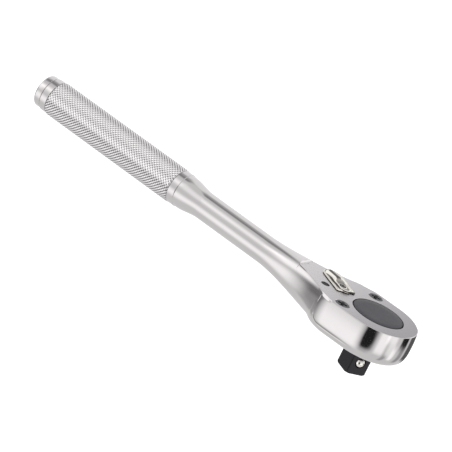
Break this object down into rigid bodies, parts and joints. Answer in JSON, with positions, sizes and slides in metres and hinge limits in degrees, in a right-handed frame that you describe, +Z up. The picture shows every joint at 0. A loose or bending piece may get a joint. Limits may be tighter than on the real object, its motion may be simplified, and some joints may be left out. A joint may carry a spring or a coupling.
{
  "type": "reversible ratchet",
  "caption": "Reversible ratchet wrench with a round knurled grip, flared neck, oval head, thumb lever and a square drive whose spring ball holds a socket.",
  "frame": {"origin": "centre of the square drive's end face", "axes": "+X towards the head's nose with the handle along -X, +Y towards the side the lever is thrown to, +Z up the drive axis towards the lid"},
  "size_m": [0.2104, 0.0378, 0.0306],
  "materials": {
    "body_chrome": "polished plating, knurled grip",
    "lid_satin": "fine satin",
    "drive_black": "black oxide, semi-matt",
    "lever_nickel": "bright warm nickel",
    "fastener_dark": "dark oxide",
    "bright_steel": "bright",
    "tool_steel": "ground grey"
  },
  "bodies": {
    "body": {"ratchet_body": "body_chrome", "cover_plate": "lid_satin", "cover_screw_near": "fastener_dark", "cover_screw_far": "fastener_dark", "thrust_washer": "bright_steel", "pawl_pin_near": "fastener_dark", "pawl_pin_far": "fastener_dark", "pawl_spring_near": "bright_steel", "pawl_spring_far": "bright_steel", "lever_detent_spring": "bright_steel"},
    "drive": {"drive_gear": "drive_black", "detent_spring": "bright_steel"},
    "socket_ball": {"detent_ball": "bright_steel"},
    "lever": {"reversing_lever": "lever_nickel", "lever_shaft": "fastener_dark", "selector_cam": "tool_steel", "lever_clip": "fastener_dark"},
    "pawl_near": {"pawl_near": "tool_steel"},
    "pawl_far": {"pawl_far": "tool_steel"},
    "lever_ball": {"lever_detent_ball": "bright_steel"}
  },
  "joints": [
    {"name": "drive_spin", "type": "hinge", "parent": "body", "child": "drive", "pos_m": [0, 0, 0], "axis": [0, 0, 1], "continuous": true},
    {"name": "socket_ball_press", "type": "slide", "parent": "drive", "child": "socket_ball", "axis": [-0.866, 0.5, 0], "range_m": [0, 0.001], "stiffness_N_per_m": 3000},
    {"name": "lever_swing", "type": "hinge", "parent": "body", "child": "lever", "pos_m": [-0.0202, 0, 0], "axis": [0, 0, 1], "range_deg": [0, 60]},
    {"name": "pawl_near_rock", "type": "hinge", "parent": "body", "child": "pawl_near", "pos_m": [-0.0247, -0.007, 0], "axis": [0, 0, 1], "range_deg": [-1.5, 8.5]},
    {"name": "pawl_far_rock", "type": "hinge", "parent": "body", "child": "pawl_far", "pos_m": [-0.0247, 0.007, 0], "axis": [0, 0, 1], "range_deg": [-1.5, 8.5]},
    {"name": "lever_ball_press", "type": "slide", "parent": "body", "child": "lever_ball", "axis": [-1, 0, 0], "range_m": [0, 0.0006], "stiffness_N_per_m": 1500}
  ],
  "couplings": [
    {"joint": "pawl_near_rock", "follows": "lever_swing", "ratio": 0.11667},
    {"joint": "pawl_far_rock", "follows": "lever_swing", "ratio": 0.11667}
  ]
}
